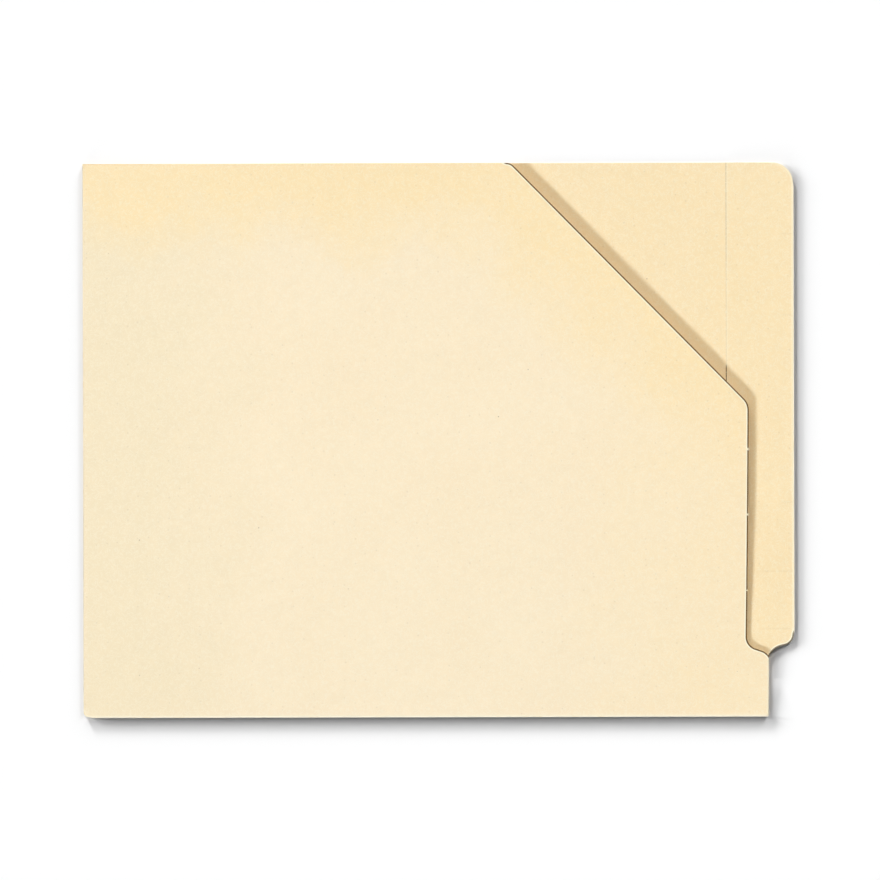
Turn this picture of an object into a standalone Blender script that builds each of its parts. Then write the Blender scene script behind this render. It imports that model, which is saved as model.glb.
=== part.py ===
"""Diagonal pocket folder: an end-tab file pocket of folded manila card, lying on its back leaf.

Units are metres, +Z up. +X runs to the end tab, +Y to the open top, and the origin is at the middle of
the footprint on the table. The folder is closed along its bottom and left edges and open along the
top, the diagonal cut and the tab side. The free lip of the front leaf bends open about mouth_flex.
"""

import math

import bmesh
import bpy
from mathutils import Vector

MM = 0.001

# Overall sheet sizes
WIDTH = 309.6 * MM  # left edge to the outer edge of the tab
HEIGHT = 241.3 * MM
CARD = 0.28 * MM
GLUE_FILM = 0.06 * MM
SEAM = 0.01 * MM  # clearance where two pieces meet face to face
CORNER = 2.0 * MM  # rounded corner where the bottom and left folds meet

# End tab
TAB_REACH = 11.5 * MM  # how far the tab stands out past the body
TAB_TOP_RADIUS = 9.0 * MM
TAB_FOOT = 29.3 * MM  # height of the tab's sloping lower end at the body's edge
TAB_FOOT_RISE = 2.8 * MM  # how much higher that end is at the tab's outer edge
OGEE_RADIUS = 7.3 * MM  # hollow where that end meets the body's edge
TAB_FOOT_RADIUS = 5.0 * MM  # rounded corner where it meets the tab's outer edge
PLY_WIDTH = 29.6 * MM
PLY_TAIL = 12.0 * MM  # how far the second ply runs on below the tab's lower end
PLY_TAPER = 4.0 * MM  # how much higher its end is at its inner edge

# Front leaf
FRONT_TOP_DROP = 0.5 * MM  # how far its top edge lies below the back leaf's
DIAGONAL_START = 186.3 * MM  # left edge to where the diagonal cut leaves the top edge
DIAGONAL_TOP_RADIUS = 4.5 * MM
DIAGONAL_END_RADIUS = 7.0 * MM
FRONT_INSET = 8.8 * MM  # body's right edge to the top of the upright cut
FRONT_LEAN = 0.8 * MM  # how much further in the upright cut is at its foot
FRONT_FOOT = 31.1 * MM  # height of the sloping end of the upright cut
FRONT_FOOT_DROP = 2.5 * MM  # fall of that slope to where it steepens
FRONT_FOOT_RADIUS = 6.0 * MM
NOTCH = 26.8 * MM  # height at which the slope reaches the body's right edge
NOTCH_RUN = 2.0 * MM  # width of its steep last part
SIDE_GAP = 0.24 * MM  # clear gap between the side flap and the front leaf at their fold
BULGE = 4.4 * MM  # how much further apart the leaves are away from the folds
RISE = 110.0 * MM  # distance from a fold over which the front leaf rises
GRID_STEP = 11.0 * MM

# Free lip of the front leaf
LIP_DEPTH = 65.0 * MM  # flex line to the diagonal cut
FLEX_GAP = 0.3 * MM

# Side flap
FLAP_WIDTH = 19.0 * MM
FLAP_TAPER = 9.0 * MM
FLAP_RADIUS = 3.0 * MM
FLAP_TOP_INSET = 2.0 * MM
GLUE_INSET = 2.5 * MM  # edge of a glued ply to the edge of its film

DIAGONAL_ANGLE = math.radians(45.4)  # slope of the diagonal cut below the top edge
ARC_STEP = math.radians(9.0)
FOLD_STEPS = 12
CUTTER_MARGIN = 5.0 * MM
WELD = 0.001 * MM

# Places worked out from the sizes
LEFT = -WIDTH / 2
RIGHT = WIDTH / 2
BOTTOM = -HEIGHT / 2
TOP = HEIGHT / 2
BODY_RIGHT = RIGHT - TAB_REACH
CUT_RIGHT = BODY_RIGHT - FRONT_INSET
FRONT_TOP = TOP - FRONT_TOP_DROP
DIAGONAL_X = LEFT + DIAGONAL_START
DIAGONAL_DROP = (CUT_RIGHT - DIAGONAL_X) * math.tan(DIAGONAL_ANGLE)

GLUE_LINE = GLUE_FILM + 2 * SEAM
PLY_BASE = CARD + GLUE_LINE
FRONT_BASE = PLY_BASE + CARD + SIDE_GAP
BOTTOM_GAP = FRONT_BASE - CARD
BOTTOM_FOLD_RADIUS = BOTTOM_GAP / 2 + CARD
SIDE_FOLD_RADIUS = SIDE_GAP / 2 + CARD
TAB_FOLD_RADIUS = GLUE_LINE / 2 + CARD

BACK_BOTTOM = BOTTOM + BOTTOM_FOLD_RADIUS + SEAM
FRONT_LEFT = LEFT + SIDE_FOLD_RADIUS + SEAM
TAB_EDGE = RIGHT - TAB_FOLD_RADIUS - SEAM
TAB_FOOT_Y = BOTTOM + TAB_FOOT
TAB_CORNER_Y = TAB_FOOT_Y + TAB_FOOT_RISE
PLY_FOOT_Y = TAB_FOOT_Y - PLY_TAIL
FLAP_LOW = BACK_BOTTOM + CORNER
FLAP_HIGH = FRONT_TOP - FLAP_TOP_INSET

# Corners of the tab that both of its plies share, as x, y and radius
TAB_CORNERS = [
    (TAB_EDGE, TOP, TAB_TOP_RADIUS),
    (TAB_EDGE, TAB_CORNER_Y, TAB_FOOT_RADIUS),
    (BODY_RIGHT, TAB_FOOT_Y, OGEE_RADIUS),
]

# Card and adhesive colours, as linear values
MANILA = (0.95, 0.80, 0.54)
MANILA_BACK = (0.94, 0.77, 0.49)
FOLDED_EDGE = (0.90, 0.74, 0.48)
ADHESIVE = (0.86, 0.82, 0.70)
CARD_ROUGHNESS = 0.75
CREASE_ROUGHNESS = 0.7
ADHESIVE_ROUGHNESS = 0.4


def clear_scene():
    for old in list(bpy.data.objects):
        bpy.data.objects.remove(old)


def collection(name):
    made = bpy.data.collections.new(name)
    bpy.context.scene.collection.children.link(made)
    return made


def material(name, colour, roughness):
    made = bpy.data.materials.new(name)
    made.use_nodes = True
    shader = made.node_tree.nodes["Principled BSDF"]
    shader.inputs["Base Color"].default_value = (*colour, 1.0)
    shader.inputs["Roughness"].default_value = roughness
    shader.inputs["Metallic"].default_value = 0.0
    return made


def arc(centre, radius, start, end, steps):
    """Points on a circle from one angle to another, both ends included."""
    turns = [start + (end - start) * i / steps for i in range(steps + 1)]
    return [centre + radius * Vector((math.cos(t), math.sin(t))) for t in turns]


def rounded_corner(before, here, after, radius):
    """The arc that rounds one corner, no longer than half of either side that meets there."""
    back = before - here
    ahead = after - here
    half = back.angle(ahead) / 2
    reach = min(radius / math.tan(half), back.length / 2, ahead.length / 2)
    bend = reach * math.tan(half)
    back.normalize()
    ahead.normalize()
    centre = here + (back + ahead).normalized() * bend / math.sin(half)
    first = here + back * reach - centre
    last = here + ahead * reach - centre
    start = math.atan2(first.y, first.x)
    turn = -first.angle_signed(last)
    steps = max(2, math.ceil(abs(turn) / ARC_STEP))
    return arc(centre, bend, start, start + turn, steps)


def rounded_outline(corners):
    """A closed outline through (x, y, radius) corners, with a sharp corner where the radius is 0."""
    places = [Vector((x, y)) for x, y, radius in corners]
    points = []
    for i, (here, corner) in enumerate(zip(places, corners)):
        if corner[2] > 0:
            after = places[(i + 1) % len(places)]
            points.extend(rounded_corner(places[i - 1], here, after, corner[2]))
        else:
            points.append(here)
    return points


def extruded(name, outline, thickness, where):
    """A 2D curve filled on both sides and extruded to a thickness about its own plane."""
    curve = bpy.data.curves.new(name, "CURVE")
    curve.dimensions = "2D"
    curve.fill_mode = "BOTH"
    curve.extrude = thickness / 2
    spline = curve.splines.new("POLY")
    spline.points.add(len(outline) - 1)
    for point, place in zip(spline.points, outline):
        point.co = (*place, 0.0, 1.0)
    spline.use_cyclic_u = True
    made = bpy.data.objects.new(name, curve)
    where.objects.link(made)
    return made


def sheet(name, corners, base, thickness, finish):
    """A flat panel or film with its underside at a given height."""
    made = extruded(name, rounded_outline(corners), thickness, PARTS)
    made.location.z = base + thickness / 2
    made.data.materials.append(finish)


def fold(name, inner, length, middle, heading, finish):
    """A half-round crease of card, bulging along -X before it is turned about Z by heading."""
    outer = inner + CARD
    origin = Vector((0.0, 0.0))
    section = arc(origin, outer, math.pi / 2, 3 * math.pi / 2, FOLD_STEPS)
    section += arc(origin, inner, 3 * math.pi / 2, math.pi / 2, FOLD_STEPS)
    made = extruded(name, section, length, PARTS)
    made.rotation_euler = (math.pi / 2, 0.0, heading)
    made.location = middle
    made.data.materials.append(finish)


def back_panel():
    corners = [
        (LEFT, TOP, 0.0),
        *TAB_CORNERS,
        (BODY_RIGHT, BACK_BOTTOM, 0.0),
        (LEFT, BACK_BOTTOM, CORNER),
    ]
    sheet("back_panel", corners, 0.0, CARD, material("manila_back", MANILA_BACK, CARD_ROUGHNESS))


def tab_ply():
    inner = RIGHT - PLY_WIDTH
    corners = [
        (inner, TOP, 0.0),
        *TAB_CORNERS,
        (BODY_RIGHT, PLY_FOOT_Y, 0.0),
        (inner, PLY_FOOT_Y + PLY_TAPER, 0.0),
    ]
    sheet("tab_ply", corners, PLY_BASE, CARD, material("manila_tab", MANILA, CARD_ROUGHNESS))


def tab_fold():
    """The crease along the straight part of the tab's outer edge, between its two rounded corners."""
    places = [Vector((x, y)) for x, y, radius in [(LEFT, TOP, 0.0), *TAB_CORNERS]]
    high = rounded_corner(*places[:3], TAB_TOP_RADIUS)[-1].y
    low = rounded_corner(*places[1:], TAB_FOOT_RADIUS)[0].y
    middle = (RIGHT - TAB_FOLD_RADIUS, (low + high) / 2, TAB_FOLD_RADIUS)
    finish = material("tab_crease", FOLDED_EDGE, CREASE_ROUGHNESS)
    fold("tab_fold", GLUE_LINE / 2, high - low, middle, math.pi, finish)


def tab_glue():
    left = RIGHT - PLY_WIDTH + GLUE_INSET
    right = BODY_RIGHT - GLUE_INSET
    outer = TAB_EDGE - GLUE_INSET
    low = PLY_FOOT_Y + PLY_TAPER + GLUE_INSET
    high = TOP - GLUE_INSET
    step = TAB_CORNER_Y + TAB_FOOT_RADIUS
    corners = [
        (left, high, 0.0),
        (outer, high, TAB_TOP_RADIUS),
        (outer, step, 0.0),
        (right, step, 0.0),
        (right, low, 0.0),
        (left, low, 0.0),
    ]
    finish = material("tab_adhesive", ADHESIVE, ADHESIVE_ROUGHNESS)
    sheet("tab_glue", corners, CARD + SEAM, GLUE_FILM, finish)


def bottom_fold():
    left = FRONT_LEFT + CORNER
    middle = ((left + BODY_RIGHT) / 2, BOTTOM + BOTTOM_FOLD_RADIUS, BOTTOM_FOLD_RADIUS)
    finish = material("bottom_crease", FOLDED_EDGE, CREASE_ROUGHNESS)
    fold("bottom_fold", BOTTOM_GAP / 2, BODY_RIGHT - left, middle, math.pi / 2, finish)


def side_fold():
    middle = (LEFT + SIDE_FOLD_RADIUS, (FLAP_LOW + FRONT_TOP) / 2, PLY_BASE + SIDE_FOLD_RADIUS)
    finish = material("side_crease", FOLDED_EDGE, CREASE_ROUGHNESS)
    fold("side_fold", SIDE_GAP / 2, FRONT_TOP - FLAP_LOW, middle, 0.0, finish)


def side_flap():
    edge = LEFT + FLAP_WIDTH
    corners = [
        (FRONT_LEFT, FLAP_HIGH, 0.0),
        (edge, FLAP_HIGH - FLAP_TAPER, FLAP_RADIUS),
        (edge, FLAP_LOW + FLAP_TAPER, FLAP_RADIUS),
        (FRONT_LEFT, FLAP_LOW, 0.0),
    ]
    sheet("side_flap", corners, PLY_BASE, CARD, material("manila_flap", MANILA_BACK, CARD_ROUGHNESS))


def side_glue():
    left = FRONT_LEFT + GLUE_INSET
    right = LEFT + FLAP_WIDTH - GLUE_INSET
    low = FLAP_LOW + FLAP_TAPER + GLUE_INSET
    high = FLAP_HIGH - FLAP_TAPER - GLUE_INSET
    corners = [(left, high, 0.0), (right, high, 0.0), (right, low, 0.0), (left, low, 0.0)]
    finish = material("side_adhesive", ADHESIVE, ADHESIVE_ROUGHNESS)
    sheet("side_glue", corners, CARD + SEAM, GLUE_FILM, finish)


def front_height(x, y):
    """Underside of the front leaf: low at the two folds, level once it is a rise away from both."""
    across = min(1.0, max(0.0, x - FRONT_LEFT) / RISE)
    up = min(1.0, max(0.0, y - BACK_BOTTOM) / RISE)
    return FRONT_BASE + BULGE * math.sin(across * math.pi / 2) * math.sin(up * math.pi / 2)


def front_leaf(name, finish):
    """A bulged sheet of card, larger than the front leaf, that the die cutters then trim."""
    size = Vector((WIDTH + 2 * CUTTER_MARGIN, HEIGHT + 2 * CUTTER_MARGIN))
    mesh = bpy.data.meshes.new(name)
    bm = bmesh.new()
    columns = math.ceil(size.x / GRID_STEP)
    rows = math.ceil(size.y / GRID_STEP)
    bmesh.ops.create_grid(bm, x_segments=columns, y_segments=rows, size=0.5)
    for vert in bm.verts:
        x = vert.co.x * size.x
        y = vert.co.y * size.y
        vert.co = (x, y, front_height(x, y))
    bm.to_mesh(mesh)
    bm.free()
    made = bpy.data.objects.new(name, mesh)
    PARTS.objects.link(made)
    mesh.materials.append(finish)
    thick = made.modifiers.new("card", "SOLIDIFY")
    thick.thickness = CARD
    thick.offset = 1.0
    return made


def cutter(made):
    """Marks an object as a cutting tool that isn't part of the folder."""
    made.hide_render = True
    made.display_type = "WIRE"
    return made


def front_die():
    """The front leaf's die-cut outline, as a tall prism."""
    corners = [
        (FRONT_LEFT, FRONT_TOP, 0.0),
        (DIAGONAL_X, FRONT_TOP, DIAGONAL_TOP_RADIUS),
        (CUT_RIGHT, FRONT_TOP - DIAGONAL_DROP, DIAGONAL_END_RADIUS),
        (CUT_RIGHT - FRONT_LEAN, BOTTOM + FRONT_FOOT, FRONT_FOOT_RADIUS),
        (BODY_RIGHT - NOTCH_RUN, BOTTOM + FRONT_FOOT - FRONT_FOOT_DROP, FRONT_FOOT_RADIUS),
        (BODY_RIGHT, BOTTOM + NOTCH, 0.0),
        (BODY_RIGHT, BACK_BOTTOM, 0.0),
        (FRONT_LEFT, BACK_BOTTOM, CORNER),
    ]
    height = 2 * (FRONT_BASE + BULGE + CARD + CUTTER_MARGIN)
    curve = extruded("front_die_curve", rounded_outline(corners), height, CUTTERS)
    bpy.context.view_layer.update()
    shape = curve.evaluated_get(bpy.context.evaluated_depsgraph_get())
    mesh = bpy.data.meshes.new_from_object(shape)
    bm = bmesh.new()
    bm.from_mesh(mesh)
    bmesh.ops.remove_doubles(bm, verts=bm.verts, dist=WELD)
    bm.to_mesh(mesh)
    bm.free()
    made = bpy.data.objects.new("front_die", mesh)
    CUTTERS.objects.link(made)
    made.matrix_world = curve.matrix_world
    bpy.data.objects.remove(curve)
    return cutter(made)


def lip_zone(name, shift):
    """A block that covers everything on the free side of the flex line, moved by a small shift."""
    size = 2 * (WIDTH + HEIGHT)
    mesh = bpy.data.meshes.new(name)
    bm = bmesh.new()
    bmesh.ops.create_cube(bm, size=size)
    bm.to_mesh(mesh)
    bm.free()
    made = bpy.data.objects.new(name, mesh)
    CUTTERS.objects.link(made)
    made.rotation_euler.z = math.atan2(MOUTH_WAY.y, MOUTH_WAY.x)
    made.location = FLEX_POINT + MOUTH_WAY * (size / 2 + shift)
    return cutter(made)


def trim(leaf, operation, tool):
    cut = leaf.modifiers.new(tool.name, "BOOLEAN")
    cut.operation = operation
    cut.object = tool


clear_scene()
PARTS = collection("diagonal_pocket_folder")
CUTTERS = collection("folder_cutters")

# The flex line runs parallel to the diagonal cut, and MOUTH_WAY points from it to the cut
MOUTH_WAY = Vector((math.sin(DIAGONAL_ANGLE), math.cos(DIAGONAL_ANGLE), 0.0))
CUT_MIDDLE = Vector(((DIAGONAL_X + CUT_RIGHT) / 2, FRONT_TOP - DIAGONAL_DROP / 2, 0.0))
FLEX_HEIGHT = Vector((0.0, 0.0, FRONT_BASE + BULGE + CARD / 2))
FLEX_POINT = CUT_MIDDLE - MOUTH_WAY * LIP_DEPTH + FLEX_HEIGHT

back_panel()
tab_ply()
tab_fold()
tab_glue()
bottom_fold()
side_fold()
side_flap()
side_glue()

die = front_die()
held = front_leaf("front_panel", material("manila_front", MANILA, CARD_ROUGHNESS))
trim(held, "INTERSECT", die)
trim(held, "DIFFERENCE", lip_zone("held_zone", -FLEX_GAP / 2))

mouth_flex = bpy.data.objects.new("mouth_flex", None)
PARTS.objects.link(mouth_flex)
mouth_flex.location = FLEX_POINT

lip = front_leaf("front_lip", material("manila_lip", MANILA, CARD_ROUGHNESS))
trim(lip, "INTERSECT", die)
trim(lip, "INTERSECT", lip_zone("free_zone", FLEX_GAP / 2))
lip.parent = mouth_flex
lip.location = -FLEX_POINT
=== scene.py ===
import math

import bmesh
import bpy
import numpy as np
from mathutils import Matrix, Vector
from mathutils.geometry import delaunay_2d_cdt


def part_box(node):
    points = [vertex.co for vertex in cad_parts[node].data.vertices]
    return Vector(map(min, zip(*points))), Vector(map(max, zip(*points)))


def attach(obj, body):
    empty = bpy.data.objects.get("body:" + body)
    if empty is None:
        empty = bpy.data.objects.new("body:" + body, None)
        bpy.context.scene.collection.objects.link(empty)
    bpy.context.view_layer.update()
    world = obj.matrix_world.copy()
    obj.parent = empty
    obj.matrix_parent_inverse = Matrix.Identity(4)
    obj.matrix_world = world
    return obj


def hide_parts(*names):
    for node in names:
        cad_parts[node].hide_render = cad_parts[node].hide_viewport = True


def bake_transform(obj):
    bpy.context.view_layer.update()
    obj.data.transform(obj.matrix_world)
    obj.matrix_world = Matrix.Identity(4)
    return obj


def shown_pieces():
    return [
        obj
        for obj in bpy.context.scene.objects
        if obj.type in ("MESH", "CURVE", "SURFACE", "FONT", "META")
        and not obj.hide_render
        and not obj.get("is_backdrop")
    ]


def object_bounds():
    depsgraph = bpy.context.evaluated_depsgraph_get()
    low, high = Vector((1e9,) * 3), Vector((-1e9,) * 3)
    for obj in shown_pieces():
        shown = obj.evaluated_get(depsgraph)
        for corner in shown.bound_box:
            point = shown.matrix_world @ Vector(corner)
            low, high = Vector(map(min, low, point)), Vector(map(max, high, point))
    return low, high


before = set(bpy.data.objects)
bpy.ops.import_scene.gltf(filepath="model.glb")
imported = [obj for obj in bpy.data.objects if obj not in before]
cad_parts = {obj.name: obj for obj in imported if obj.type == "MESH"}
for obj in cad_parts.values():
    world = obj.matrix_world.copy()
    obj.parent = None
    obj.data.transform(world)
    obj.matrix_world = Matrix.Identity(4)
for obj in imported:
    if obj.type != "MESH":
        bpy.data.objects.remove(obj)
cad_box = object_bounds()

# Back leaf
# The rear panel, die cut with the rest of the folder from one sheet of 11 point manila card, with the
# end tab on its right. It lies flat on the table, and the bottom crease carries on from it.
MM = 0.001  # sizes are written in millimetres
# Kinds of edge: folded, trimmed, fold and cut with a painted highlight, die cut with painted highlight and
# dark shade
FOLDED, TRIMMED, HIGHLIT_FOLD, HIGHLIT_CUT, DIE_CUT = range(5)
ARC_STEP = math.radians(5)
SHARP_ANGLE = math.radians(50)
MITRE_LIMIT = 0.5
MERGE_REACH = 1e-6
INSIDE_ONLY = 1  # an outline is filled on its inside alone
EDGE_ROWS = (0.12, 0.3, 0.55, 0.95, 1.6)  # rows of points inside an edge
EDGE_REACH = 2.0
SHOULDER = 0.06  # how far the die presses an open edge down
SHOULDER_WIDTH = 0.3
BACK_STEP = 6.0
CORNER_RADIUS = 2.0
TAB_TOP_RADIUS = 9.0
TAB_FOOT = 29.3
TAB_FOOT_RISE = 2.8
TAB_FOOT_RADIUS = 5.0
OGEE_RADIUS = 7.3  # hollow where the tab's foot meets the body

back_low, back_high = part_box("back_panel")
front_low, front_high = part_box("front_panel")
card_left, card_bottom = back_low.x / MM, back_low.y / MM
tab_edge, card_top, card_thickness = back_high / MM
body_right = front_high.x / MM
folder_bottom = cad_box[0].y / MM
tab_foot = folder_bottom + TAB_FOOT


def outline(corners, step):
    """Points round a card from (x, y, radius, edge) corners set anticlockwise, each with its kind of edge."""
    bends = []
    for i, (x, y, radius, edge) in enumerate(corners):
        corner = Vector((x, y))
        back = Vector(corners[i - 1][:2]) - corner
        onward = Vector(corners[(i + 1) % len(corners)][:2]) - corner
        if not radius:
            bends.append((corner, edge))
            continue
        half = back.angle(onward) / 2
        reach = min(radius / math.tan(half), back.length / 2, onward.length / 2)
        middle = (back.normalized() + onward.normalized()).normalized() * reach / math.cos(half)
        first = back.normalized() * reach - middle
        last = onward.normalized() * reach - middle
        turn = math.atan2(first.cross(last), first.dot(last))
        parts = max(2, math.ceil(abs(turn) / ARC_STEP))
        for k in range(parts + 1):
            c, s = math.cos(turn * k / parts), math.sin(turn * k / parts)
            spoke = Vector((c * first.x - s * first.y, s * first.x + c * first.y))
            kind = edge if k == parts else max(edge, corners[i - 1][3])
            bends.append((corner + middle + spoke, kind))
    points = []
    for (start, edge), (end, _) in zip(bends, bends[1:] + bends[:1]):
        parts = max(1, math.ceil((end - start).length / step))
        points += [(start.lerp(end, k / parts), edge) for k in range(parts)]
    return points


def inset(ring, depth):
    """The ring drawn again, that far inside itself."""
    moved = []
    for before, here, after in zip(ring[-1:] + ring[:-1], ring, ring[1:] + ring[:1]):
        sides = [(here - before).normalized(), (after - here).normalized()]
        inward = [Vector((-side.y, side.x)) for side in sides]
        middle = (inward[0] + inward[1]).normalized()
        moved.append(here + middle * depth / max(middle.dot(inward[0]), MITRE_LIMIT))
    return moved


def nearness(points, sides):
    """1 on the nearest of the sides, falling to 0 at the edge reach."""
    if not sides:
        return np.zeros(len(points))
    start = np.array([side[0] for side in sides])
    along = np.array([side[1] for side in sides]) - start
    offset = points[:, None] - start
    share = np.clip((offset * along).sum(-1) / (along * along).sum(-1), 0, 1)
    distance = np.linalg.norm(offset - share[..., None] * along, axis=-1).min(1)
    return np.clip(1 - distance / EDGE_REACH, 0, 1)


def card(name, corners, base, step):
    """A flat leaf of card on its base height, with eased upper edges.
    Its attributes say how near an edge with a painted highlight is, and how near a die-cut edge is."""
    edged = outline(corners, step)
    ring = [point for point, _ in edged]
    rows = [ring] + [inset(ring, depth) for depth in EDGE_ROWS]
    points = [point for row in rows for point in row]
    count = len(ring)
    loops = [(r * count + k, r * count + (k + 1) % count) for r in range(len(rows)) for k in range(count)]
    bound = np.array(inset(ring, EDGE_ROWS[-1] + step / 2))
    low, high = bound.min(0), bound.max(0)
    across, up = np.meshgrid(np.arange(low[0], high[0], step), np.arange(low[1], high[1], step))
    across[1::2] += step / 2
    inner = np.stack([across.ravel(), up.ravel()], 1)
    a, b = bound, np.roll(bound, -1, 0)
    crosses = (a[:, 1] > inner[:, 1:]) != (b[:, 1] > inner[:, 1:])
    rise = np.where(b[:, 1] == a[:, 1], 1.0, b[:, 1] - a[:, 1])
    meets = inner[:, :1] < (b[:, 0] - a[:, 0]) * (inner[:, 1:] - a[:, 1]) / rise + a[:, 0]
    points += [Vector(p) for p in inner[(crosses & meets).sum(1) % 2 == 1]]
    filled = delaunay_2d_cdt(points, loops, [list(range(count))], INSIDE_ONLY, MERGE_REACH)
    flat, _, faces, origins, _, _ = filled
    found = {source: k for k, sources in enumerate(origins) for source in sources}
    places = np.array(flat)
    sides = [(start, end, edge) for (start, edge), end in zip(edged, ring[1:] + ring[:1])]
    to_cut = nearness(places, [side[:2] for side in sides if side[2] == DIE_CUT])
    to_highlight = nearness(places, [side[:2] for side in sides if side[2] >= HIGHLIT_FOLD])
    to_open = nearness(places, [side[:2] for side in sides if side[2] not in (FOLDED, HIGHLIT_FOLD)])
    shoulder = np.clip(1 - (1 - to_open) * EDGE_REACH / SHOULDER_WIDTH, 0, 1) ** 2 * SHOULDER
    made = bmesh.new()
    rim = made.verts.layers.float.new("highlight_rim")
    cut = made.verts.layers.float.new("die_cut")
    skins = []
    for height in (np.full(len(places), base), base + card_thickness - shoulder):
        skin = []
        for k, (x, y) in enumerate(places):
            vert = made.verts.new((x * MM, y * MM, height[k] * MM))
            vert[rim] = to_highlight[k]
            vert[cut] = to_cut[k]
            skin.append(vert)
        skins.append(skin)
    under, over = skins
    for face in faces:
        made.faces.new([over[k] for k in face])
        made.faces.new([under[k] for k in reversed(face)])
    for k in range(count):
        i, j = found[k], found[(k + 1) % count]
        made.faces.new((under[i], under[j], over[j], over[i]))
    bmesh.ops.recalc_face_normals(made, faces=made.faces)
    mesh = bpy.data.meshes.new(name)
    made.to_mesh(mesh)
    made.free()
    mesh.shade_smooth()
    mesh.set_sharp_from_angle(angle=SHARP_ANGLE)
    leaf = bpy.data.objects.new(name, mesh)
    bpy.context.scene.collection.objects.link(leaf)
    return leaf


def linear(code):
    """Linear colour of an sRGB hex code."""
    parts = [int(code[k:k + 2], 16) / 255 for k in (1, 3, 5)]
    return [p / 12.92 if p <= 0.04045 else ((p + 0.055) / 1.055) ** 2.4 for p in parts] + [1.0]


def add(tree, kind, inputs, **settings):
    """A node with its settings, its input values and its links."""
    node = tree.nodes.new(kind)
    for setting, value in settings.items():
        setattr(node, setting, value)
    for socket, value in inputs.items():
        if isinstance(value, bpy.types.NodeSocket):
            tree.links.new(value, node.inputs[socket])
        else:
            node.inputs[socket].default_value = value
    return node


def new_finish(name):
    """A material of that name, and its node tree."""
    finish = bpy.data.materials.new(name)
    finish.use_nodes = True
    return finish, finish.node_tree


def surface(tree, colour, roughness, relief, gloss):
    """Colour, roughness and relief linked to the shader, which has the same gloss all over."""
    shader = tree.nodes["Principled BSDF"]
    shader.inputs["Specular IOR Level"].default_value = gloss
    tree.links.new(colour, shader.inputs["Base Color"])
    tree.links.new(roughness, shader.inputs["Roughness"])
    tree.links.new(relief, shader.inputs["Normal"])


DRIFT_SIZE = 45.0
DRIFT_SPAN = (0.35, 0.65)  # a span is the noise level where a pattern starts and where it is full
CLOUD_SIZE = 5.0
CLOUD_SPAN = (0.3, 0.7)
CLOUD_BREAKUP = 0.65
CLOUD_SHADE = 0.97
FIBRE_LENGTH = 2.6
FIBRE_WIDTH = 0.42
FIBRE_TURNS = (11, 52, 98, 146)
FIBRE_SPAN = (0.68, 0.78)
FIBRE_STRENGTH = 0.32
# Large and small specks: spacing, largest radius, share of places without one, strength
BARK_SPECKS = ((13.0, 0.38, 0.92, 0.6), (4.5, 0.5, 0.3, 0.11))
SPECK_SOFTNESS = 0.25
# Nearness to an edge at which the rim highlight, the die-cut highlight and the dark shade, all painted, start
# and are full
RIM_HIGHLIGHT_SPAN = (0.55, 0.7)
CUT_HIGHLIGHT_SPAN = (0.38, 0.5)
EDGE_SHADE_SPAN = (0.68, 0.75)
RIM_HIGHLIGHT_STRENGTH = 0.45
TOOTH_SIZE = 0.5
TOOTH_DEPTH = 0.03
TOOTH_STRENGTH = 0.25
CARD_ROUGHNESS = (0.74, 0.84)
CARD_GLOSS = 0.25
INNER_BUFF = "#FAE3B5"
INNER_DRIFT = "#FAE4B8"
BARK_BROWN = "#8E744C"
FIBRE_CREAM = "#FFF6DF"
# Colours painted as a highlight at edges and as dark shade at the die-cut edges of the inner faces
HIGHLIGHT_CREAM = "#FFF5D9"
EDGE_SHADE_GREY = "#786E59"


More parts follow.
